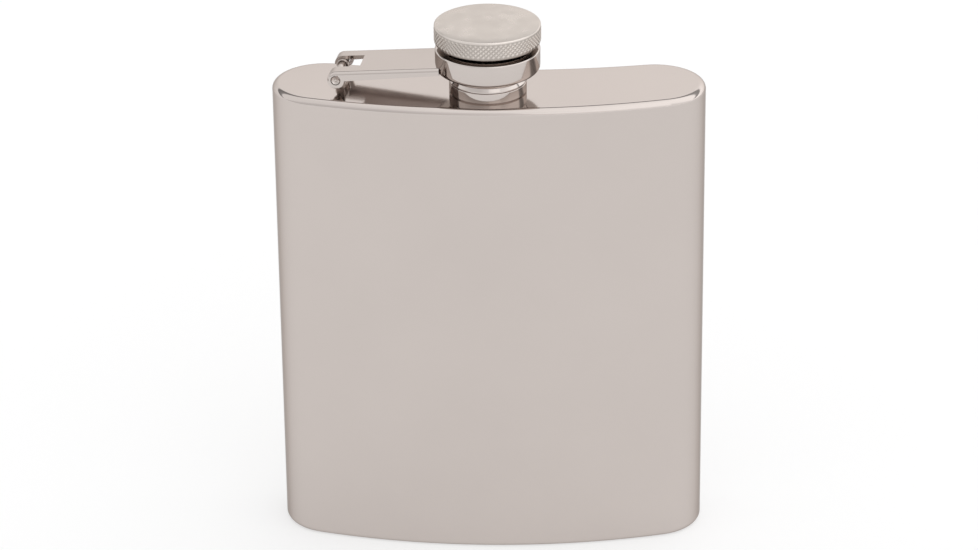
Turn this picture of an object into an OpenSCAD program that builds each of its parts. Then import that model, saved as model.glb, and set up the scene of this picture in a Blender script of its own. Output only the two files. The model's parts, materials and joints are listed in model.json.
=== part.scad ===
// Kidney-shaped hip flask with a screw cap held on a hinged arm. Millimetres, +Z up.
// The origin is the middle of the flask's foot print, on the surface it stands on.

/* [Body] */
// Width of the flask, side to side
body_w = 92; // [80:1:110]
// Height of the body, from its base to its shoulder
body_h = 104.2; // [80:0.2:140]
// Radius of the rounded sides
side_r = 10.75; // [9:0.25:13]
// How far the front bulges in front of the rounded sides
front_bulge = 5; // [3:0.5:7]
// How far the back is hollowed in from the rounded sides
back_hollow = 3.5; // [2:0.5:5]
// Radius of the polished edges round the shoulder and the base
edge_r = 1.4; // [0.8:0.1:2]
// Thickness of the rolled wall
wall_t = 0.6; // [0.4:0.1:1]
// Thickness of the shoulder plate and the base plate
plate_t = 0.8; // [0.5:0.1:1.2]

/* [Neck] */
// Distance from the front of the flask back to the neck's axis
neck_back = 11.25; // [11:0.05:11.6]
// Radius of the plain step at the foot of the neck
neck_step_r = 8.2; // [7.6:0.05:8.4]
// Height of the plain step
neck_step_h = 2.35; // [2.2:0.05:2.8]
// Radius over the neck's screw thread
thread_r = 6.75; // [6:0.05:6.8]
// Radius of the hole that the drink pours through
mouth_r = 5.4; // [4.5:0.1:5.6]
// Height of the neck's rim above the shoulder
neck_h = 9.4; // [7:0.2:9.4]

/* [Cap] */
// Radius of the knurled head
head_r = 11.3; // [10:0.1:12.5]
// Height of the knurled head
head_h = 4.1; // [3.5:0.05:6]
// Gap between the collar cup and the head
head_gap = 1.3; // [1:0.05:1.6]
// Outer radius of the sleeve that screws onto the neck
sleeve_r = 8.2; // [8.1:0.05:8.3]
// Radius of the hole in the sleeve
sleeve_bore_r = 7.4; // [7.3:0.05:7.45]
// Lead of the screw thread, the rise for one turn
thread_lead = 1.5; // [1:0.25:1.5]
// Turns from closed to free
turns = 1.5; // [1:0.25:1.5]

/* [Collar] */
// Outer radius of the collar cup
collar_r = 11.1; // [11:0.05:11.5]
// Height of the cup's underside above the shoulder
collar_z = 4.75; // [4.7:0.05:4.9]
// Room left over the sleeve's flange when the cap is free
cup_spare = 0.7; // [0.2:0.05:0.8]

/* [Hinge] */
// Distance from the neck's axis to the hinge pin, square to the pin
pin_reach = 31.45; // [30:0.05:34]
// Angle of the arm from the flask's width, seen from above
arm_skew = 6.3; // [5:0.1:9]
// Rise of the arm from the hinge to the collar
arm_rise = 4.8; // [4:0.1:6]
// Width of the arm
arm_w = 12.7; // [11.9:0.1:13.3]
// Radius of the hinge pin
pin_r = 0.95; // [0.8:0.05:1]
// Height of the pin's axis above the shoulder
pin_h = 3.1; // [3:0.1:3.5]
// Thickness of the arm's sheet
arm_t = 0.8; // [0.6:0.1:0.9]

/* [Hidden] */
$fn = 96;

// clearances
weld_gap = 0.02;
run_gap = 0.05;
slide_gap = 0.2;
cut = 1;

// the kidney outline: four arcs that meet smoothly
body_d = 2*side_r + front_bulge;
side_x = body_w/2 - side_r;
side_y = body_d/2 - side_r;
front_y = -body_d/2;
back_y = body_d/2 - back_hollow;
apex = side_y - front_y;
front_r = (side_x^2 + apex^2 - side_r^2)/(2*front_bulge);
dip = side_r - back_hollow;
back_r = (side_x^2 + dip^2 - side_r^2)/(2*back_hollow);
front_cy = front_y + front_r;
back_cy = back_y + back_r;
front_a = atan2(side_y - front_cy, side_x);
back_a = atan2(side_y - back_cy, side_x);
arc_steps = 18;
edge_steps = 6;

neck_y = front_y + neck_back;
spigot_r = 6.6;
spigot_end = 0.6;
spigot_h = plate_t + spigot_end;

// heights above the shoulder, from the collar up
floor_t = 0.7;
cup_wall = 0.6;
lip_r = 9.4;
lip_t = 0.6;
flange_r = 9.9;
flange_t = 0.7;
lift = thread_lead*turns;
collar_h = floor_t + run_gap + flange_t + lift + cup_spare + lip_t;
collar_corner = 1.3;
corner_steps = 4;
sleeve_z = neck_step_h + run_gap;
liner_t = 1.2;
liner_r = 7;
liner_z = neck_h + run_gap;
sleeve_roof = liner_z + liner_t;
sleeve_end_t = 1.9;
groove_z = sleeve_z + 1;
groove_d = 0.35;
groove_half = 0.7;
sleeve_top = sleeve_roof + sleeve_end_t;
head_z = collar_z + collar_h + head_gap;
head_corner = 0.3;
head_crown = 0.9;
crown_steps = 4;

// the hinge, in the arm's own axes: x from the pin to the neck, y along the pin
ear_r = 1.8;
ear_t = 0.9;
drop_at_pin = 2;
drop_at_neck = 0.9;
slot_w = 6;
slot_l = 4.85;
lug_t = 0.7;
lug_r = 1.3;
lug_back = 0.4;
lug_gap = 0.1;
lug_out = slot_w/2 - lug_gap;
foot_t = 0.7;

// ---- shared shapes ----
function arc(c, r, from, to) =
    [for (i = [0:arc_steps - 1]) let (a = from + (to - from)*i/arc_steps)
        c + r*[cos(a), sin(a)]];

// the outline, moved inwards by inset
function kidney(inset) = concat(
    arc([0, front_cy], front_r - inset, -180 - front_a, front_a),
    arc([side_x, side_y], side_r - inset, front_a, 180 + back_a),
    arc([0, back_cy], back_r + inset, back_a, -180 - back_a),
    arc([-side_x, side_y], side_r - inset, -back_a, 180 - front_a));

// a solid through kidney outlines at the given [height, inset] levels
module kidney_loft(levels) {
    n = len(kidney(0));
    m = len(levels);
    points = [for (l = levels) for (p = kidney(l[1])) [p.x, p.y, l[0]]];
    sides = [for (k = [0:m - 2]) for (i = [0:n - 1]) let (j = (i + 1) % n)
        each [[k*n + i, (k + 1)*n + j, k*n + j], [k*n + i, (k + 1)*n + i, (k + 1)*n + j]]];
    bottom = [for (i = [0:n - 1]) i];
    top = [for (i = [n - 1:-1:0]) (m - 1)*n + i];
    polyhedron(points, concat(sides, [bottom, top]));
}

module kidney_prism(inset, z0, z1) {
    translate([0, 0, z0]) linear_extrude(z1 - z0) polygon(kidney(inset));
}

// levels of a rounded edge that starts at the wall and ends flat
rounded_edge = [for (i = [0:edge_steps]) let (a = 90*i/edge_steps)
    [edge_r*sin(a), edge_r*(1 - cos(a))]];

module on_neck(z) { translate([0, neck_y, body_h + z]) children(); }

module on_pin() {
    on_neck(pin_h) rotate([0, 0, -arm_skew]) translate([-pin_reach, 0, 0]) children();
}

module along_pin(r, from, to) {
    translate([0, to, 0]) rotate([90, 0, 0]) cylinder(r = r, h = to - from);
}

// ---- body ----
module body_wrap() {
    color("silver") difference() {
        kidney_prism(0, edge_r, body_h - edge_r);
        kidney_prism(wall_t, edge_r - cut, body_h - edge_r + cut);
    }
}

module top_plate() {
    color("gainsboro") difference() {
        translate([0, 0, body_h - edge_r]) kidney_loft(rounded_edge);
        kidney_prism(wall_t, body_h - edge_r - cut, body_h - plate_t);
        on_neck(-plate_t - cut) cylinder(r = spigot_r + weld_gap, h = plate_t + 2*cut);
    }
}

module base_plate() {
    color("gainsboro") difference() {
        translate([0, 0, edge_r]) mirror([0, 0, 1]) kidney_loft(rounded_edge);
        kidney_prism(wall_t, plate_t, edge_r + cut);
    }
}

// ---- neck: a spigot through the shoulder, a plain step and the threaded spout ----
module neck() {
    color("silver") on_neck(0) difference() {
        union() {
            translate([0, 0, -spigot_h]) cylinder(r = spigot_r, h = spigot_h + cut);
            cylinder(r = neck_step_r, h = neck_step_h);
            cylinder(r = thread_r, h = neck_h);
        }
        translate([0, 0, -spigot_h - cut]) cylinder(r = mouth_r, h = spigot_h + neck_h + 2*cut);
    }
}

// ---- hinge ----
module bracket_lug() {
    rotate([90, 0, 0]) linear_extrude(lug_t) difference() {
        union() {
            circle(r = lug_r);
            translate([-lug_back, -pin_h]) square([lug_back + lug_r, pin_h]);
        }
        circle(r = pin_r + weld_gap);
    }
}

module hinge_bracket() {
    color("gray") on_pin() {
        translate([0, lug_out, 0]) bracket_lug();
        translate([0, -lug_out + lug_t, 0]) bracket_lug();
        translate([-lug_back, -lug_out, -pin_h]) cube([lug_back + lug_r, 2*lug_out, foot_t]);
    }
}

module hinge_pin() {
    color("darkgray") on_pin() along_pin(pin_r, -arm_w/2, arm_w/2);
}

// a flange with a round ear at the pin
module arm_side() {
    rotate([90, 0, 0]) linear_extrude(ear_t) difference() {
        union() {
            circle(r = ear_r);
            polygon([[0, ear_r], [0, ear_r - drop_at_pin],
                [pin_reach, ear_r - drop_at_neck], [pin_reach, ear_r]]);
        }
        circle(r = pin_r + run_gap);
    }
}

module hinge_arm() {
    color("silver") difference() {
        on_pin() rotate([0, -arm_rise, 0]) {
            translate([0, arm_w/2, 0]) arm_side();
            translate([0, -arm_w/2 + ear_t, 0]) arm_side();
            difference() {
                union() {
                    translate([0, -arm_w/2, ear_r - arm_t]) cube([pin_reach, arm_w, arm_t]);
                    curl();
                }
                translate([-ear_r - cut, -slot_w/2, -ear_r - cut])
                    cube([ear_r + cut + slot_l, slot_w, 2*ear_r + 2*cut]);
            }
        }
        on_neck(0) cylinder(r = collar_r + weld_gap, h = collar_z + collar_h + cut);
    }
}

// the sheet that curls down over the far side of the pin
module curl() {
    difference() {
        along_pin(ear_r, -arm_w/2, arm_w/2);
        along_pin(ear_r - arm_t + run_gap, -arm_w/2 + ear_t, arm_w/2 - ear_t);
        along_pin(pin_r + run_gap, -arm_w/2 - cut, arm_w/2 + cut);
        translate([0, -arm_w/2 - cut, -ear_r - cut]) cube([ear_r + cut, arm_w + 2*cut, ear_r + cut]);
        translate([-ear_r - cut, -arm_w/2 - cut, -ear_r - cut])
            cube([ear_r + 2*cut, arm_w + 2*cut, ear_r + cut]);
    }
}

// ---- collar: a cup with a hole in its floor and a lip that keeps the cap in ----
module collar_cup() {
    corner = [for (i = [0:corner_steps]) let (a = 90*i/corner_steps)
        [collar_r - collar_corner*(1 - sin(a)), collar_corner*(1 - cos(a))]];
    color("silver") on_neck(collar_z) rotate_extrude() polygon(concat(
        [[sleeve_r + slide_gap, 0]], corner,
        [[collar_r, collar_h], [lip_r, collar_h], [lip_r, collar_h - lip_t],
         [collar_r - cup_wall, collar_h - lip_t], [collar_r - cup_wall, floor_t],
         [sleeve_r + slide_gap, floor_t]]));
}

// ---- cap ----
// the sleeve has a groove round it, between the collar and its lower end
module cap_sleeve() {
    flange_z = collar_z + floor_t + run_gap;
    color("silver") on_neck(0) difference() {
        union() {
            translate([0, 0, sleeve_z]) cylinder(r = sleeve_r, h = sleeve_top - sleeve_z);
            translate([0, 0, flange_z]) cylinder(r = flange_r, h = flange_t);
        }
        translate([0, 0, sleeve_z - cut]) cylinder(r = sleeve_bore_r, h = sleeve_roof - sleeve_z + cut);
        rotate_extrude() polygon([[sleeve_r - groove_d, groove_z], [sleeve_r, groove_z - groove_half],
            [sleeve_r + cut, groove_z - groove_half], [sleeve_r + cut, groove_z + groove_half],
            [sleeve_r, groove_z + groove_half]]);
    }
}

module cap_head() {
    crown = [for (i = [0:crown_steps]) let (a = 90*i/crown_steps)
        [head_r - head_crown*(1 - cos(a)), head_h - head_crown*(1 - sin(a))]];
    color("gainsboro") on_neck(head_z) difference() {
        rotate_extrude() polygon(concat(
            [[0, 0], [head_r - head_corner, 0], [head_r, head_corner]], crown, [[0, head_h]]));
        translate([0, 0, -cut]) cylinder(r = sleeve_r + weld_gap, h = sleeve_top - head_z + weld_gap + cut);
    }
}

module cap_liner() {
    color("ivory") on_neck(liner_z) cylinder(r = liner_r, h = liner_t - weld_gap);
}

body_wrap();
top_plate();
base_plate();
neck();
hinge_bracket();
hinge_pin();
hinge_arm();
collar_cup();
cap_sleeve();
cap_head();
cap_liner();
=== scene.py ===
"""A polished steel hip flask: its pieces, finishes, studio and camera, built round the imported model."""
import json
import math

import bmesh
import bpy
from mathutils import Matrix, Vector


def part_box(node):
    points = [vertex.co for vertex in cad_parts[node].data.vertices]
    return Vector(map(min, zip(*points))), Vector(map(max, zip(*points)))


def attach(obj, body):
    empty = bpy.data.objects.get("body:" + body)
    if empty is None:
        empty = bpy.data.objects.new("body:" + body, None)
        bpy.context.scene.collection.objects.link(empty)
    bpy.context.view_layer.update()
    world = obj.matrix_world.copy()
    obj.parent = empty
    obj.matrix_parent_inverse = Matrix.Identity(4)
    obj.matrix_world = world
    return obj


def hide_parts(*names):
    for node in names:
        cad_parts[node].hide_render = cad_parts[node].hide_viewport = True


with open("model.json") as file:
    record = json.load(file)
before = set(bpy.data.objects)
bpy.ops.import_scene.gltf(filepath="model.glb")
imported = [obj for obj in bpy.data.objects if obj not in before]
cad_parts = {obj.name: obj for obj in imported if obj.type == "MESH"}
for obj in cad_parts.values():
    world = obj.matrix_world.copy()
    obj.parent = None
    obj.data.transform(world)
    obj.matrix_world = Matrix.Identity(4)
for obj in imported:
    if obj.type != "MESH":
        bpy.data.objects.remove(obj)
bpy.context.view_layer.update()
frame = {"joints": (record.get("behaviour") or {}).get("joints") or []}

MM = 0.001
MERGE = 1e-7

# ---------------------------------------------------------------- sizes

# the body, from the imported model's own boxes
wall_lo, wall_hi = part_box("body_wrap")
shoulder_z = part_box("top_plate")[1].z
base_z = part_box("base_plate")[0].z
edge_r = shoulder_z - wall_hi.z
body_w = wall_hi.x - wall_lo.x
body_d = wall_hi.y - wall_lo.y
side_r = 10.75 * MM
back_hollow = 3.5 * MM
wall_t = 0.6 * MM
plate_t = 0.8 * MM
seam_strip = 0.08 * MM

# the neck and what turns on it
neck_lo, neck_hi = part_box("neck")
neck_axis = (neck_lo + neck_hi) / 2
neck_r = (neck_hi.x - neck_lo.x) / 2
neck_rim = neck_hi.z - shoulder_z
spigot_r = 6.6 * MM
collar_lo, collar_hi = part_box("collar_cup")
collar_r = (collar_hi.x - collar_lo.x) / 2
sleeve_lo, sleeve_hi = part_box("cap_sleeve")
head_lo, head_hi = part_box("cap_head")
head_r = (head_hi.x - head_lo.x) / 2
liner_lo, liner_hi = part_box("cap_liner")
thread_lead = 1.5 * MM

# the hinge: its own axes run x from the pin to the neck, y along the pin
swing = next(j for j in frame["joints"] if j["name"] == "arm_swing")
pin_at = Vector(swing["pos_m"])
pin_dir = -Vector(swing["axis"]).normalized()
pin_r = 0.95 * MM
pin_drop = pin_at.z - shoulder_z
ear_r = 1.8 * MM
arm_w = 12.7 * MM
slot_w = 6.0 * MM
arm_rise = math.radians(4.8)
pin_reach = (pin_at.xy - neck_axis.xy).length


# ---------------------------------------------------------------- mesh helpers

def finish_piece(bm, name, body, material, replaces, sharp=32.0):
    """Closes a mesh, shades it smooth away from its sharp edges, and puts it on its body."""
    bmesh.ops.remove_doubles(bm, verts=bm.verts, dist=MERGE)
    bmesh.ops.recalc_face_normals(bm, faces=bm.faces)
    mesh = bpy.data.meshes.new(name)
    bm.to_mesh(mesh)
    bm.free()
    mesh.shade_smooth()
    mesh.set_sharp_from_angle(angle=math.radians(sharp))
    mesh.materials.append(material)
    piece = bpy.data.objects.new(name, mesh)
    bpy.context.scene.collection.objects.link(piece)
    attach(piece, body)
    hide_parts(replaces)
    return piece


def rounded(corners, steps=5):
    """The points of a profile whose corners are (r, z, radius), with each corner an arc."""
    points = []
    count = len(corners)
    for i, (r, z, radius) in enumerate(corners):
        here = Vector((r, z))
        if radius == 0:
            points.append(here)
            continue
        to_last = (Vector(corners[i - 1][:2]) - here).normalized()
        to_next = (Vector(corners[(i + 1) % count][:2]) - here).normalized()
        half = to_last.angle(to_next) / 2
        reach = radius / math.tan(half)
        centre = here + (to_last + to_next).normalized() * radius / math.sin(half)
        start = here + to_last * reach - centre
        turn = start.angle_signed(here + to_next * reach - centre)
        for k in range(steps + 1):
            points.append(centre + Matrix.Rotation(-turn * k / steps, 2) @ start)
    return points


def wire(bm, points, closed=True):
    """A chain of edges through the points."""
    verts = [bm.verts.new(p) for p in points]
    pairs = list(zip(verts, verts[1:]))
    if closed:
        pairs.append((verts[-1], verts[0]))
    return [bm.edges.new(pair) for pair in pairs]


def chain_geometry(edges):
    """The edges of a chain and their vertices, in order, as the spin takes them."""
    return edges + list(dict.fromkeys(v for e in edges for v in e.verts))


def turn_profile(bm, corners, steps=128, z0=0.0):
    """Spins a closed profile of (r, z, radius) corners, in millimetres, round the neck's axis."""
    centre = Vector((neck_axis.x, neck_axis.y, 0))
    points = [centre + Vector((p.x * MM, 0, p.y * MM + z0)) for p in rounded(corners)]
    edges = wire(bm, points)
    bmesh.ops.spin(bm, geom=chain_geometry(edges), cent=centre, axis=(0, 0, 1), angle=math.tau,
                   steps=steps, use_merge=True)
    bmesh.ops.remove_doubles(bm, verts=bm.verts, dist=MERGE)
    bmesh.ops.dissolve_degenerate(bm, edges=bm.edges, dist=1e-8)


def helix_ridge(bm, r_foot, r_crest, z_start, turns, width):
    """One screw thread ridge round the neck's axis that fades in and out at its ends."""
    centre = Vector((neck_axis.x, neck_axis.y, 0))
    sunk = r_foot - math.copysign(0.15 * MM, r_crest - r_foot)
    steps = int(64 * turns)
    flank = 0.36 * width
    section = [(sunk, 0), (r_foot, 0), (r_crest, flank), (r_crest, width - flank),
               (r_foot, width), (sunk, width)]
    points = [centre + Vector((r, 0, shoulder_z + z_start + h)) for r, h in section]
    first = bm.faces.new([bm.verts.new(p) for p in points])
    out = bmesh.ops.spin(bm, geom=[first], cent=centre, axis=(0, 0, 1), steps=steps,
                         angle=math.tau * turns, dvec=(0, 0, thread_lead * turns / steps))
    ends = [first] + [g for g in out["geom_last"] if isinstance(g, bmesh.types.BMFace)]
    faded = 0.98
    for face in ends:
        for v in face.verts:
            flat = Vector((v.co.x - centre.x, v.co.y - centre.y, 0))
            v.co -= flat.normalized() * (flat.length - sunk) * faded


# ---------------------------------------------------------------- the body

def outline(bm, inset, z):
    """The kidney-shaped outline of the body, moved in by inset: four arcs swept end to end."""
    bulge = body_d - 2 * side_r
    side = Vector((body_w / 2 - side_r, body_d / 2 - side_r))
    apex = side.y + body_d / 2
    dip = side_r - back_hollow
    front_r = (side.x ** 2 + apex ** 2 - side_r ** 2) / (2 * bulge)
    back_r = (side.x ** 2 + dip ** 2 - side_r ** 2) / (2 * back_hollow)
    front_y = front_r - body_d / 2
    back_y = body_d / 2 - back_hollow + back_r
    front_a = math.atan2(side.y - front_y, side.x)
    back_a = math.atan2(side.y - back_y, side.x)
    side_turn = math.pi + back_a - front_a
    arcs = [((0, front_y), math.pi + 2 * front_a, 48), ((side.x, side.y), side_turn, 48),
            ((0, back_y), -math.pi - 2 * back_a, 36), ((-side.x, side.y), side_turn, 48)]
    start_a = -math.pi - front_a
    radius = front_r - inset
    before = set(bm.edges)
    first = bm.verts.new((radius * math.cos(start_a), front_y + radius * math.sin(start_a), z))
    last = first
    for (cx, cy), angle, steps in arcs:
        out = bmesh.ops.spin(bm, geom=[last], cent=(cx, cy, z), axis=(0, 0, 1), angle=angle,
                             steps=steps)
        last = next(g for g in out["geom_last"] if isinstance(g, bmesh.types.BMVert))
    bmesh.ops.weld_verts(bm, targetmap={last: first})
    return [e for e in bm.edges if e not in before]


def join_loops(bm, loops):
    """Joins each loop to the next: a strip between two heights, a flat ring at one height."""
    for a, b in zip(loops, loops[1:]):
        climb = abs(a[0].verts[0].co.z - b[0].verts[0].co.z)
        if climb < MERGE:
            bmesh.ops.triangle_fill(bm, edges=a + b, use_beauty=True)
        else:
            bmesh.ops.bridge_loops(bm, edges=a + b)


def circle_loop(bm, radius, z, segments=96):
    """A circle round the neck's axis."""
    before = set(bm.edges)
    place = Matrix.Translation((neck_axis.x, neck_axis.y, z))
    bmesh.ops.create_circle(bm, segments=segments, radius=radius, matrix=place)
    return [e for e in bm.edges if e not in before]


def edge_levels(z_wall, z_flat, steps=10):
    """(inset, height) up the rounded edge from the wall to the flat, and a little past each end."""
    up = z_flat - z_wall
    levels = [(0.0, z_wall), (0.0, z_wall + math.copysign(seam_strip, up))]
    for i in range(1, steps + 1):
        a = math.pi / 2 * i / steps
        levels.append((edge_r * (1 - math.cos(a)), z_wall + up * math.sin(a)))
    levels.append((edge_r + 2 * seam_strip, z_flat))
    return levels


def body_wall(material):
    """The wall: one sheet wrapped round the outline, open at both ends."""
    bm = bmesh.new()
    corners = [(0, wall_lo.z), (0, wall_hi.z), (wall_t, wall_hi.z), (wall_t, wall_lo.z)]
    loops = [outline(bm, inset, z) for inset, z in corners]
    join_loops(bm, loops + loops[:1])
    return finish_piece(bm, "polished_wall", "flask", material, "body_wrap")


def shoulder_plate(material):
    """The shoulder pressing: a rounded edge down to the wall, and the hole for the neck."""
    bm = bmesh.new()
    hole_r = spigot_r + 0.02 * MM
    outer = [outline(bm, inset, z) for inset, z in edge_levels(wall_hi.z, shoulder_z)]
    inner = [outline(bm, wall_t, z) for z in (wall_hi.z, shoulder_z - plate_t)]
    join_loops(bm, outer)
    join_loops(bm, inner)
    join_loops(bm, [outer[0], inner[0]])
    holes = [circle_loop(bm, hole_r, z) for z in (shoulder_z, shoulder_z - plate_t)]
    join_loops(bm, holes)
    for rim, hole in ((outer[-1], holes[0]), (inner[-1], holes[1])):
        bmesh.ops.triangle_fill(bm, edges=rim + hole, use_beauty=True)
    return finish_piece(bm, "shoulder_plate", "flask", material, "top_plate")


def foot_plate(material):
    """The foot pressing: a rounded edge up to the wall, and a shallow panel set into it."""
    bm = bmesh.new()
    panel_in, panel_up, slope = 3.0 * MM, 0.35 * MM, 0.5 * MM
    soft = 2 * seam_strip
    levels = edge_levels(wall_lo.z, base_z)
    levels += [(panel_in, base_z), (panel_in + soft, base_z + soft / 10),
               (panel_in + slope, base_z + panel_up), (panel_in + slope + soft, base_z + panel_up)]
    outer = [outline(bm, inset, z) for inset, z in levels]
    inner = [outline(bm, wall_t, z) for z in (wall_lo.z, base_z + plate_t)]
    join_loops(bm, outer)
    join_loops(bm, inner)
    join_loops(bm, [outer[0], inner[0]])
    for rim in (outer[-1], inner[-1]):
        bmesh.ops.triangle_fill(bm, edges=rim, use_beauty=True)
    return finish_piece(bm, "foot_plate", "flask", material, "base_plate")


# ---------------------------------------------------------------- the neck

def threaded_neck(material):
    """A turned neck: a spigot through the shoulder, a plain step, and a threaded spout."""
    bm = bmesh.new()
    step_h, root_r, crest_r, mouth_r = 2.35, 6.35, 6.75, 5.4
    undercut, undercut_h = 0.2, 0.25
    rim = neck_rim / MM
    foot = (neck_lo.z - shoulder_z) / MM
    spigot = spigot_r / MM
    step_r = neck_r / MM
    turn_profile(bm, [
        (mouth_r, foot, 0.1), (spigot, foot, 0.1), (spigot, 0, 0), (step_r - undercut, 0, 0),
        (step_r, undercut_h, 0.1), (step_r, step_h, 0.18), (root_r, step_h, 0.15),
        (root_r, rim, 0.35), (mouth_r, rim, 0.3)], z0=shoulder_z)
    helix_ridge(bm, root_r * MM, crest_r * MM, z_start=3.5 * MM, turns=3.1, width=0.85 * MM)
    return finish_piece(bm, "threaded_neck", "flask", material, "neck")


# ---------------------------------------------------------------- the hinge

def hinge_matrix(rise=0.0):
    """Places the hinge's own axes, tipped up by rise from the pin to the neck."""
    along = Vector((pin_dir.y, -pin_dir.x, 0))
    turn = Matrix((along, pin_dir, Vector((0, 0, 1)))).transposed().to_4x4()
    return Matrix.Translation(pin_at) @ turn @ Matrix.Rotation(-rise, 4, "Y")


def circle_points(radius, start, end, steps):
    """Points round the pin, as (x, z), from one angle in degrees to another."""
    angles = [math.radians(start + (end - start) * k / steps) for k in range(steps + 1)]
    return [(radius * math.cos(a), radius * math.sin(a)) for a in angles]


def bracket(material):
    """A folded steel bracket: two round-topped lugs that stand on a foot between them."""
    bm = bmesh.new()
    lug_r, lug_t, foot_t = 1.3 * MM, 0.7 * MM, 0.7 * MM
    lug_back = 0.4 * MM
    lug_out = slot_w / 2 - 0.1 * MM
    hole_r = pin_r + 0.02 * MM
    sunk = 0.1 * MM
    for side in (-1, 1):
        waist = 180 + math.degrees(math.acos(lug_back / lug_r))
        shape = circle_points(lug_r, waist, 0, 20) + [(lug_r, -pin_drop), (-lug_back, -pin_drop)]
        edges = wire(bm, [(x, side * lug_out, z) for x, z in shape])
        hole = circle_points(hole_r, 0, 360, 24)[:-1]
        edges += wire(bm, [(x, side * lug_out, z) for x, z in hole])
        faces = bmesh.ops.triangle_fill(bm, edges=edges, use_beauty=True)["geom"]
        faces = [g for g in faces if isinstance(g, bmesh.types.BMFace)]
        out = bmesh.ops.extrude_face_region(bm, geom=faces, use_keep_orig=True)["geom"]
        moved = [g for g in out if isinstance(g, bmesh.types.BMVert)]
        bmesh.ops.translate(bm, verts=moved, vec=(0, -side * lug_t, 0))
    size = Matrix.Diagonal((lug_back + lug_r - sunk, 2 * (lug_out - lug_t + sunk), foot_t, 1))
    place = Matrix.Translation(((lug_r - lug_back) / 2, 0, foot_t / 2 - pin_drop))
    bmesh.ops.create_cube(bm, size=1, matrix=place @ size)
    bmesh.ops.transform(bm, matrix=hinge_matrix(), verts=bm.verts)
    piece = finish_piece(bm, "folded_bracket", "flask", material, "hinge_bracket")
    soften(piece, 0.1 * MM)
    return piece


def soften(piece, width, segments=2):
    """Takes the sharpness off a piece's edges."""
    bevel = piece.modifiers.new("soft_edges", "BEVEL")
    bevel.width = width
    bevel.segments = segments
    bevel.limit_method = "ANGLE"
    bevel.angle_limit = math.radians(38)
    bevel.harden_normals = True


def pin(material):
    """The hinge pin, riveted over: each end is a dished rim round a small boss."""
    bm = bmesh.new()
    half = arm_w / 2
    dish = 0.3 * MM
    corner = 0.08 * MM
    dish_r, boss_foot_r, boss_r = 0.55 * pin_r, 0.4 * pin_r, 0.3 * pin_r
    end = [(pin_r, half - corner), (pin_r - corner, half), (dish_r, half - dish),
           (boss_foot_r, half - dish), (boss_r, half - corner), (0, half)]
    profile = [(r, -y) for r, y in reversed(end)] + end
    edges = wire(bm, [(r, y, 0) for r, y in profile], closed=False)
    bmesh.ops.spin(bm, geom=chain_geometry(edges), cent=(0, 0, 0), axis=(0, 1, 0), angle=math.tau,
                   steps=40, use_merge=True)
    bmesh.ops.transform(bm, matrix=hinge_matrix(), verts=bm.verts)
    return finish_piece(bm, "riveted_pin", "flask", material, "hinge_pin", 50)


def arm_end(y, z):
    """How far along the arm its sheet runs before it is inside the collar's wall."""
    into_wall = 0.25 * MM
    chord = math.sqrt((collar_r - into_wall) ** 2 - y ** 2)
    return (pin_reach + z * math.sin(arm_rise) - chord) / math.cos(arm_rise)


def channel_arm(material, inner):
    """A pressed channel with a slot at the hinge, two ears round the pin, and open flange ends.

    One side and half the roof are made, bent at the fold, mirrored, and given their thickness.
    """
    bm = bmesh.new()
    half = arm_w / 2
    bend_r, sheet_t = 0.95 * MM, 0.7 * MM
    hole_r = pin_r + 0.1 * MM
    slot_end = 4.85 * MM
    flange_end = pin_reach - 9.3 * MM
    drop_at_pin, drop_at_end = 2.0 * MM, 1.45 * MM
    low = ear_r - drop_at_pin
    meet = math.degrees(math.asin(low / ear_r))
    under = circle_points(ear_r, meet, -180, 20)
    curl = circle_points(ear_r, 180, 90, 10)
    top = [(slot_end, ear_r), (flange_end, ear_r)]
    path = under + curl[1:] + top + [(flange_end, ear_r - drop_at_end)]
    side = wire(bm, [(x, half, z) for x, z in path])
    hole = wire(bm, [(x, half, z) for x, z in circle_points(hole_r, 0, 360, 28)[:-1]])
    fold = side[len(under) - 1:len(under) + len(curl)]
    bmesh.ops.triangle_fill(bm, edges=side + hole, use_beauty=True)
    edges = fold
    rows = (half - bend_r, 4.2 * MM, slot_w / 2, 1.4 * MM, 0)
    for y in rows:
        out = bmesh.ops.extrude_edge_only(bm, edges=edges)["geom"]
        verts = [g for g in out if isinstance(g, bmesh.types.BMVert)]
        edges = [g for g in out if isinstance(g, bmesh.types.BMEdge)
                 and all(v in verts for v in g.verts)]
        step = y - verts[0].co.y
        bmesh.ops.translate(bm, verts=verts, vec=(0, step, 0))
    bmesh.ops.bevel(bm, geom=fold, offset=0.9 * bend_r, segments=5, profile=0.5, affect="EDGES",
                    material=-1, clamp_overlap=True)
    slot = [f for f in bm.faces if f.calc_center_median().x < slot_end
            and f.calc_center_median().y < slot_w / 2]
    bmesh.ops.delete(bm, geom=slot, context="FACES")
    far = flange_end - 0.01 * MM
    tongue = [v for v in bm.verts if v.co.x > far and v.co.y < half - bend_r + 0.05 * MM]
    for v in tongue:
        v.co.x = arm_end(v.co.y, v.co.z)
    geom = list(bm.verts) + list(bm.edges) + list(bm.faces)
    bmesh.ops.mirror(bm, geom=geom, axis="Y", merge_dist=MERGE)
    bmesh.ops.recalc_face_normals(bm, faces=bm.faces)
    if sum(f.normal.z * f.calc_area() for f in bm.faces) < 0:
        bmesh.ops.reverse_faces(bm, faces=bm.faces)
    out = bmesh.ops.solidify(bm, geom=list(bm.faces), thickness=sheet_t)["geom"]
    # the faces under the sheet take the second material: unpolished steel whose pale colour is painted
    # light
    for g in out:
        if isinstance(g, bmesh.types.BMFace):
            g.material_index = 1
    bmesh.ops.transform(bm, matrix=hinge_matrix(arm_rise), verts=bm.verts)
    piece = finish_piece(bm, "channel_arm", "arm", material, "hinge_arm")
    piece.data.materials.append(inner)
    return piece


# ---------------------------------------------------------------- the collar and the cap

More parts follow.
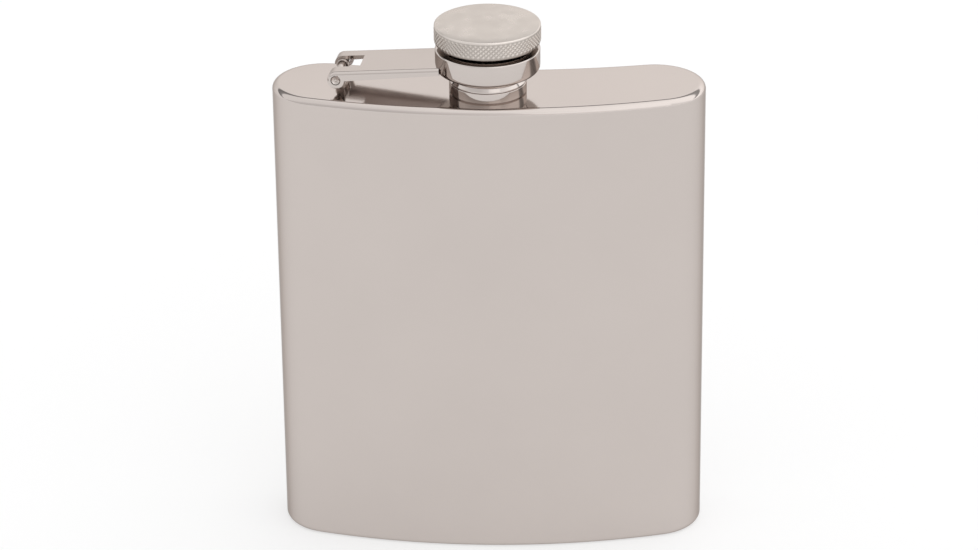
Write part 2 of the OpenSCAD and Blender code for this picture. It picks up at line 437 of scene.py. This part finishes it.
def collar(material):
    """The cup at the arm's end: a floor and a lip hold the sleeve's flange between them."""
    bm = bmesh.new()
    out_r = collar_r / MM
    wall, floor_t, lip_r, lip_t = 0.6, 0.7, 9.4, 0.6
    tall = (collar_hi.z - collar_lo.z) / MM
    hole_r, corner_r = 8.4, 1.3
    turn_profile(bm, [
        (hole_r, 0, 0.15), (out_r, 0, corner_r), (out_r, tall, 0.3), (lip_r, tall, 0.2),
        (lip_r, tall - lip_t, 0.15), (out_r - wall, tall - lip_t, 0.1),
        (out_r - wall, floor_t, 0.7), (hole_r, floor_t, 0.1)], z0=collar_lo.z)
    return finish_piece(bm, "collar_ring", "arm", material, "collar_cup")


def sleeve(material):
    """The cap's threaded sleeve, with the flange that the collar holds."""
    bm = bmesh.new()
    low = (sleeve_lo.z - shoulder_z) / MM
    high = (sleeve_hi.z - shoulder_z) / MM
    roof = (liner_hi.z - shoulder_z) / MM
    flange_low = (collar_lo.z - shoulder_z) / MM + 0.75
    flange_high = flange_low + 0.7
    out_r, bore_r, flange_r, crest_r = 8.2, 7.4, 9.9, 7.12
    ceiling = roof + 0.02
    groove_r, groove_z, groove_half = out_r - 0.35, low + 1.0, 0.7
    turn_profile(bm, [
        (bore_r, low, 0.15), (out_r, low, 0.12), (out_r, groove_z - groove_half, 0.15),
        (groove_r, groove_z, 0.08), (out_r, groove_z + groove_half, 0.1), (out_r, flange_low, 0.1),
        (flange_r, flange_low, 0.15), (flange_r, flange_high, 0.15), (out_r, flange_high, 0.2),
        (out_r, high, 0.1), (0, high, 0), (0, ceiling, 0), (bore_r, ceiling, 0.1)],
        z0=shoulder_z)
    helix_ridge(bm, bore_r * MM, crest_r * MM, z_start=3.4 * MM, turns=3.2, width=0.8 * MM)
    return finish_piece(bm, "threaded_sleeve", "cap", material, "cap_sleeve")


def knurled_head(material):
    """The cap's head: a satin crown over a band of diamond knurling, cut as real pyramids."""
    bm = bmesh.new()
    teeth, rows = 66, 7
    tall = (head_hi.z - head_lo.z) / MM
    radius = head_r / MM
    recess_r = 8.22
    recess = (sleeve_hi.z - head_lo.z) / MM + 0.02
    knurl_depth = 0.15
    root = radius - knurl_depth
    band_low, band_high = 0.3, tall - 0.5
    band = [(root, band_low + (band_high - band_low) * k / rows, 0) for k in range(rows + 1)]
    crown = [(radius - 0.08, band_high + 0.04, 0.03), (radius - 0.05, tall - 0.06, 0.3),
             (radius - 3.0, tall, 2.5)]
    turn_profile(bm, [(recess_r, 0, 0.1), (root - 0.15, 0, 0.1)] + band + crown
                 + [(0, tall, 0), (0, recess, 0), (recess_r, recess, 0.1)],
                 steps=2 * teeth, z0=head_lo.z)
    cut_knurl(bm, [head_lo.z + h * MM for _, h, _ in band], root * MM, knurl_depth * MM, teeth)
    return finish_piece(bm, "knurled_head", "cap", material, "cap_head", 24)


def cut_knurl(bm, levels, root, depth, teeth):
    """Raises every other vertex of the band and folds each square along its low diagonal."""
    centre = neck_axis.xy
    rise = {}
    for v in bm.verts:
        flat = v.co.xy - centre
        level = min(range(len(levels)), key=lambda k: abs(v.co.z - levels[k]))
        if abs(v.co.z - levels[level]) > MERGE or abs(flat.length - root) > 10 * MERGE:
            continue
        column = round(math.atan2(flat.y, flat.x) / (math.pi / teeth))
        high = (column + level) % 2 == 1 and 0 < level < len(levels) - 1
        rise[v] = depth if high else 0.0
    for face in [f for f in bm.faces if all(v in rise for v in f.verts) and len(f.verts) == 4]:
        first, second, third, fourth = face.verts
        low = (first, third) if rise[first] == rise[third] == 0.0 else (second, fourth)
        bmesh.utils.face_split(face, *low)
    for v, up in rise.items():
        flat = (v.co.xy - centre).normalized()
        v.co.x += flat.x * up
        v.co.y += flat.y * up


def liner(material):
    """The soft disc that seals on the neck's rim, with a raised ring round its edge."""
    bm = bmesh.new()
    radius = (liner_hi.x - liner_lo.x) / 2 / MM
    tall = (liner_hi.z - liner_lo.z) / MM
    turn_profile(bm, [
        (0, 0.12, 0), (4.6, 0.12, 0.1), (4.9, 0, 0.15), (radius, 0, 0.3),
        (radius, tall, 0.2), (0, tall, 0)], z0=liner_lo.z)
    return finish_piece(bm, "sealing_disc", "liner", material, "cap_liner")


# ---------------------------------------------------------------- shared surface effects

def new_group(name, inputs, outputs):
    """An empty shader node group with (name, socket type, default) inputs and outputs."""
    group = bpy.data.node_groups.new(name, "ShaderNodeTree")
    for label, kind, default in inputs:
        socket = group.interface.new_socket(label, in_out="INPUT", socket_type=kind)
        if default is not None:
            socket.default_value = default
    for label, kind in outputs:
        group.interface.new_socket(label, in_out="OUTPUT", socket_type=kind)
    nodes = group.nodes
    return group, nodes.new("NodeGroupInput"), nodes.new("NodeGroupOutput")


def add_noise(tree, vector, scale, detail=3.0):
    """A noise texture on a vector, with its scale from a socket or a number."""
    noise = tree.nodes.new("ShaderNodeTexNoise")
    noise.inputs["Detail"].default_value = detail
    tree.links.new(vector, noise.inputs["Vector"])
    if isinstance(scale, (int, float)):
        noise.inputs["Scale"].default_value = scale
    else:
        tree.links.new(scale, noise.inputs["Scale"])
    return noise.outputs["Fac"]


def add_range(tree, value, low, high, from_low=0.35, from_high=0.65):
    """Maps a 0 to 1 value into the range between two sockets or numbers."""
    ranger = tree.nodes.new("ShaderNodeMapRange")
    ranger.inputs["From Min"].default_value = from_low
    ranger.inputs["From Max"].default_value = from_high
    for label, limit in (("To Min", low), ("To Max", high)):
        if isinstance(limit, (int, float)):
            ranger.inputs[label].default_value = limit
        else:
            tree.links.new(limit, ranger.inputs[label])
    tree.links.new(value, ranger.inputs["Value"])
    return ranger.outputs["Result"]


def add_mix(tree, amount, low, high):
    """Mixes two colours by an amount; each colour is a socket or three numbers."""
    mix = tree.nodes.new("ShaderNodeMix")
    mix.data_type = "RGBA"
    tree.links.new(amount, mix.inputs["Factor"])
    for label, color in (("A", low), ("B", high)):
        if isinstance(color, tuple):
            mix.inputs[label].default_value = (*color, 1)
        else:
            tree.links.new(color, mix.inputs[label])
    return next(s for s in mix.outputs if s.type == "RGBA")


def polish_group():
    """Polished sheet: cloudy buffing haze in the roughness, slow ripples and hairlines in height."""
    group, given, result = new_group("polish", [
        ("Vector", "NodeSocketVector", None), ("Cloud Scale", "NodeSocketFloat", 60.0),
        ("Smooth", "NodeSocketFloat", 0.06), ("Hazy", "NodeSocketFloat", 0.14),
        ("Ripple Scale", "NodeSocketFloat", 45.0), ("Hairline", "NodeSocketFloat", 0.02)],
        [("Roughness", "NodeSocketFloat"), ("Height", "NodeSocketFloat")])
    links = group.links
    cloud = add_noise(group, given.outputs["Vector"], given.outputs["Cloud Scale"])
    rough = add_range(group, cloud, given.outputs["Smooth"], given.outputs["Hazy"])
    links.new(rough, result.inputs["Roughness"])
    ripple = add_noise(group, given.outputs["Vector"], given.outputs["Ripple Scale"], 1.0)
    stretch = group.nodes.new("ShaderNodeMapping")
    stretch.inputs["Rotation"].default_value = (0.3, 0.2, 0.9)
    stretch.inputs["Scale"].default_value = (90.0, 1400.0, 1400.0)
    links.new(given.outputs["Vector"], stretch.inputs["Vector"])
    hair = add_noise(group, stretch.outputs["Vector"], 1.0, 2.0)
    add = group.nodes.new("ShaderNodeMath")
    add.operation = "MULTIPLY_ADD"
    links.new(hair, add.inputs[0])
    links.new(given.outputs["Hairline"], add.inputs[1])
    links.new(ripple, add.inputs[2])
    links.new(add.outputs["Value"], result.inputs["Height"])
    return group


def tone_group():
    """Steel's colour: a base tone, with a slightly darker one in soft patches."""
    group, given, result = new_group("steel_tone", [
        ("Vector", "NodeSocketVector", None), ("Scale", "NodeSocketFloat", 40.0),
        ("Light", "NodeSocketColor", (0.6, 0.55, 0.52, 1)),
        ("Dark", "NodeSocketColor", (0.57, 0.52, 0.49, 1))],
        [("Color", "NodeSocketColor")])
    patch = add_noise(group, given.outputs["Vector"], given.outputs["Scale"])
    spread = add_range(group, patch, 0.0, 1.0, 0.3, 0.7)
    tone = add_mix(group, spread, given.outputs["Dark"], given.outputs["Light"])
    group.links.new(tone, result.inputs["Color"])
    return group


POLISH = polish_group()
TONE = tone_group()


# ---------------------------------------------------------------- finishes

def new_material(name):
    """A material with a Principled shader, and its Object coordinates."""
    material = bpy.data.materials.new(name)
    material.use_nodes = True
    tree = material.node_tree
    shader = tree.nodes["Principled BSDF"]
    coordinates = tree.nodes.new("ShaderNodeTexCoord").outputs["Object"]
    return material, tree, shader, coordinates


def add_group(tree, group, vector, **values):
    """Places a shared group and sets its named inputs, with underscores for spaces."""
    node = tree.nodes.new("ShaderNodeGroup")
    node.node_tree = group
    tree.links.new(vector, node.inputs["Vector"])
    for label, value in values.items():
        node.inputs[label.replace("_", " ")].default_value = value
    return node


def steel(name, light, dark, smooth, hazy, ripple=0.02, clouds=60.0, ripples=45.0, hairline=0.02):
    """A stainless steel finish: its two tones, its roughness range, and how its surface ripples."""
    material, tree, shader, vector = new_material(name)
    tone = add_group(tree, TONE, vector, Light=(*light, 1), Dark=(*dark, 1))
    polish = add_group(tree, POLISH, vector, Smooth=smooth, Hazy=hazy, Cloud_Scale=clouds,
                       Ripple_Scale=ripples, Hairline=hairline)
    bump = tree.nodes.new("ShaderNodeBump")
    bump.inputs["Strength"].default_value = 1.0
    bump.inputs["Distance"].default_value = ripple * MM
    shader.inputs["Metallic"].default_value = 1.0
    shader.inputs["Specular Tint"].default_value = (0.55, 0.52, 0.50, 1)
    tree.links.new(tone.outputs["Color"], shader.inputs["Base Color"])
    tree.links.new(polish.outputs["Roughness"], shader.inputs["Roughness"])
    tree.links.new(polish.outputs["Height"], bump.inputs["Height"])
    tree.links.new(bump.outputs["Normal"], shader.inputs["Normal"])
    return material


def knurled_steel(name, light, dark, groove_shade, smooth, hazy):
    """Satin steel with painted shade: its colour is darker and duller down in the grooves of the head's
    knurling.
    """
    material = steel(name, light, dark, smooth, hazy, ripple=0.0, clouds=300.0)
    tree = material.node_tree
    shader = tree.nodes["Principled BSDF"]
    tone = shader.inputs["Base Color"].links[0].from_socket
    vector = tree.nodes.new("ShaderNodeTexCoord").outputs["Object"]
    centred = tree.nodes.new("ShaderNodeVectorMath")
    centred.operation = "SUBTRACT"
    centred.inputs[1].default_value = (neck_axis.x, neck_axis.y, 0)
    tree.links.new(vector, centred.inputs[0])
    flat = tree.nodes.new("ShaderNodeVectorMath")
    flat.operation = "MULTIPLY"
    flat.inputs[1].default_value = (1, 1, 0)
    tree.links.new(centred.outputs["Vector"], flat.inputs[0])
    radius = tree.nodes.new("ShaderNodeVectorMath")
    radius.operation = "LENGTH"
    tree.links.new(flat.outputs["Vector"], radius.inputs[0])
    split = tree.nodes.new("ShaderNodeSeparateXYZ")
    tree.links.new(vector, split.inputs["Vector"])
    root_r, crest_r = head_r - 0.17 * MM, head_r - 0.02 * MM
    band_top, crown_foot = head_hi.z - 0.6 * MM, head_hi.z - 0.45 * MM
    # painted shade: within the knurled band the colour darkens towards the groove shade colour, deeper in
    # the grooves
    deep = add_range(tree, radius.outputs["Value"], 1.0, 0.0, root_r, crest_r)
    band = add_range(tree, split.outputs["Z"], 1.0, 0.0, band_top, crown_foot)
    groove_shade_mask = tree.nodes.new("ShaderNodeMath")
    groove_shade_mask.operation = "MULTIPLY"
    tree.links.new(deep, groove_shade_mask.inputs[0])
    tree.links.new(band, groove_shade_mask.inputs[1])
    tree.links.new(add_mix(tree, groove_shade_mask.outputs["Value"], tone, groove_shade), shader.inputs["Base Color"])
    return material


def soft_plastic(name, color):
    """Milky polyethylene with a faint grain."""
    material, tree, shader, vector = new_material(name)
    grain = add_noise(tree, vector, 900.0)
    bump = tree.nodes.new("ShaderNodeBump")
    bump.inputs["Distance"].default_value = 0.02 * MM
    shader.inputs["Base Color"].default_value = (*color, 1)
    tree.links.new(add_range(tree, grain, 0.35, 0.55), shader.inputs["Roughness"])
    tree.links.new(grain, bump.inputs["Height"])
    tree.links.new(bump.outputs["Normal"], shader.inputs["Normal"])
    return material


# ---------------------------------------------------------------- studio and camera

def pale_floor():
    """A wide pale floor that glows a little, so that it stays even and nearly white."""
    bm = bmesh.new()
    grey, glow = 0.42, 0.52
    bmesh.ops.create_grid(bm, x_segments=8, y_segments=8, size=3.0)
    mesh = bpy.data.meshes.new("floor")
    bm.to_mesh(mesh)
    bm.free()
    floor = bpy.data.objects.new("floor", mesh)
    bpy.context.scene.collection.objects.link(floor)
    material, _, shader, _ = new_material("pale_floor")
    shader.inputs["Base Color"].default_value = (grey, grey, grey, 1)
    shader.inputs["Roughness"].default_value = 0.9
    shader.inputs["Emission Color"].default_value = (1.0, 1.0, 1.0, 1)
    shader.inputs["Emission Strength"].default_value = glow
    mesh.materials.append(material)


def sky():
    """Broad soft lights in an arch from behind to the front, with one dark gap between them.

    The arch runs from the horizon at the back (0) over the top (0.5) to the front (1).
    """
    world = bpy.data.worlds.new("studio_sky")
    world.use_nodes = True
    bpy.context.scene.world = world
    tree = world.node_tree
    background = tree.nodes["Background"]
    direction = tree.nodes.new("ShaderNodeTexCoord").outputs["Generated"]
    split = tree.nodes.new("ShaderNodeSeparateXYZ")
    tree.links.new(direction, split.inputs["Vector"])
    arch = tree.nodes.new("ShaderNodeMath")
    arch.operation = "ARCTAN2"
    tree.links.new(split.outputs["Z"], arch.inputs[0])
    tree.links.new(split.outputs["Y"], arch.inputs[1])
    turn = tree.nodes.new("ShaderNodeMath")
    turn.operation = "DIVIDE"
    turn.inputs[1].default_value = math.pi
    tree.links.new(arch.outputs["Value"], turn.inputs[0])
    bands = tree.nodes.new("ShaderNodeValToRGB")
    tree.links.new(turn.outputs["Value"], bands.inputs["Fac"])
    brightest = 1.5
    left, right = 0.88 * brightest, 1.25 * brightest
    stops = [(0.0, 1.22), (0.17, 1.30), (0.19, 0.3), (0.28, 0.4), (0.32, 1.2), (0.72, 1.17),
             (0.82, 0.95), (1.0, 0.85)]
    ramp = bands.color_ramp.elements
    while len(ramp) < len(stops):
        ramp.new(0.5)
    for stop, (place, strength) in zip(ramp, stops):
        stop.position = place
        stop.color = (*[strength / brightest] * 3, 1)
    sides = add_range(tree, split.outputs["X"], left, right, -0.35, 0.35)
    total = tree.nodes.new("ShaderNodeMath")
    total.operation = "MULTIPLY"
    tree.links.new(bands.outputs["Color"], total.inputs[0])
    tree.links.new(sides, total.inputs[1])
    tree.links.new(total.outputs["Value"], background.inputs["Strength"])
    background.inputs["Color"].default_value = (1.0, 1.0, 1.0, 1)


def soft_lamp():
    """A broad lamp at the front, high to the right, that throws the soft shadow."""
    lamp = bpy.data.lights.new("soft_lamp", "AREA")
    lamp.shape = "RECTANGLE"
    lamp.size, lamp.size_y = 1.0, 0.9
    lamp.energy = 0.7
    holder = bpy.data.objects.new("soft_lamp", lamp)
    holder.location = (0.62, -1.55, 0.85)
    aim = Vector((0, 0, 0.05)) - holder.location
    holder.rotation_euler = aim.to_track_quat("-Z", "Y").to_euler()
    bpy.context.scene.collection.objects.link(holder)


def camera():
    """A long lens that looks down on the flask, almost straight on."""
    azimuth, elevation, roll = math.radians(2.166), math.radians(25.65), math.radians(-0.628)
    distance = 0.8699
    target = Vector((-0.00038, 0.00225, 0.0588))
    back = Vector((math.sin(azimuth) * math.cos(elevation),
                   -math.cos(azimuth) * math.cos(elevation), math.sin(elevation)))
    data = bpy.data.cameras.new("camera")
    data.sensor_width = 36
    data.lens = 147.8
    data.clip_start, data.clip_end = 0.01, 20
    holder = bpy.data.objects.new("camera", data)
    holder.rotation_mode = "QUATERNION"
    holder.location = target + back * distance
    aim = (-back).to_track_quat("-Z", "Y")
    holder.rotation_quaternion = aim @ Matrix.Rotation(roll, 4, "Z").to_quaternion()
    bpy.context.scene.collection.objects.link(holder)
    bpy.context.scene.camera = holder


# ---------------------------------------------------------------- making it

body_steel = steel("body_steel", (0.585, 0.528, 0.498), (0.57, 0.514, 0.485), 0.07, 0.12)
fitting_steel = steel("fitting_steel", (0.585, 0.53, 0.50), (0.56, 0.505, 0.475), 0.07, 0.13,
                      ripple=0.01, clouds=250.0, ripples=180.0)
# the head's third colour is painted shade for the knurling's grooves
head_steel = knurled_steel("head_steel", (0.70, 0.645, 0.60), (0.67, 0.615, 0.57),
                           (0.40, 0.36, 0.33), 0.26, 0.36)
# the arm's rough, unpolished inner faces; their colour is raised far above the steel's own tone as
# painted light on the shaded underside
unpolished_steel_with_painted_light = steel("unpolished_steel_with_painted_light", (0.94, 0.865, 0.84), (0.91, 0.835, 0.81), 0.5, 0.6,
                         ripple=0.01, clouds=300.0, ripples=300.0)
hinge_steel = steel("hinge_steel", (0.57, 0.515, 0.485), (0.52, 0.465, 0.435), 0.12, 0.22,
                    ripple=0.01, clouds=400.0, ripples=300.0)
milky_plastic = soft_plastic("milky_plastic", (0.82, 0.8, 0.74))

body_wall(body_steel)
shoulder_plate(body_steel)
foot_plate(body_steel)
threaded_neck(fitting_steel)
bracket(hinge_steel)
pin(hinge_steel)
channel_arm(fitting_steel, unpolished_steel_with_painted_light)
collar(fitting_steel)
sleeve(fitting_steel)
knurled_head(head_steel)
liner(milky_plastic)
pale_floor()
sky()
soft_lamp()
camera()
bpy.context.scene.view_settings.view_transform = "Standard"
